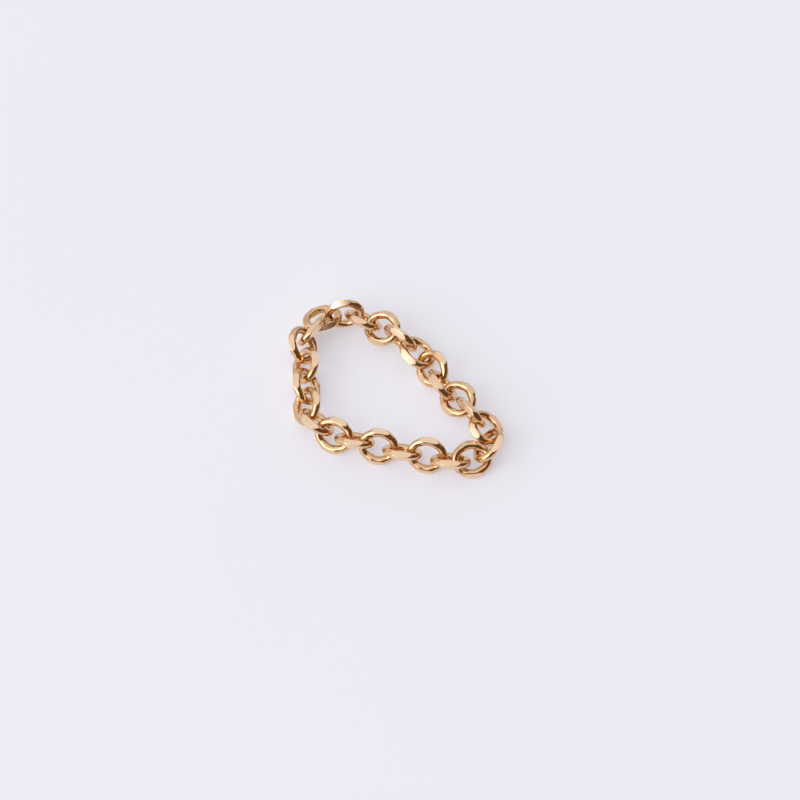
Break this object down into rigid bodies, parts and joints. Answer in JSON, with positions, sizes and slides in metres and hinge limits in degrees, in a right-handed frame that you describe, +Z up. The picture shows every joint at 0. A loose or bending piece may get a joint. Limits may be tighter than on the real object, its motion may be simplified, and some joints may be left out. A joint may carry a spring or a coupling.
{
  "type": "chain link ring",
  "caption": "Finger ring made of a closed loop of oval chain links with diamond-cut flats, lying slack on a surface",
  "frame": {"origin": "On the surface that the ring lies on, under the middle of the box of the loop as it lies", "axes": "+Z is up, square to the surface; +X runs to the right in the picture and +Y away from the camera"},
  "size_m": [0.0218, 0.0199, 0.0038],
  "materials": {
    "gold": "polished gold plate on round wire, with satin diamond-cut flats"
  },
  "bodies": {
    "root": {"link_01": "gold", "link_02": "gold", "link_03": "gold", "link_04": "gold", "link_05": "gold", "link_06": "gold", "link_07": "gold", "link_08": "gold", "link_09": "gold", "link_10": "gold", "link_11": "gold", "link_12": "gold", "link_13": "gold", "link_14": "gold", "link_15": "gold", "link_16": "gold", "link_17": "gold", "link_18": "gold", "link_19": "gold", "link_20": "gold", "link_21": "gold", "link_22": "gold", "link_23": "gold", "link_24": "gold", "link_25": "gold"}
  },
  "joints": []
}
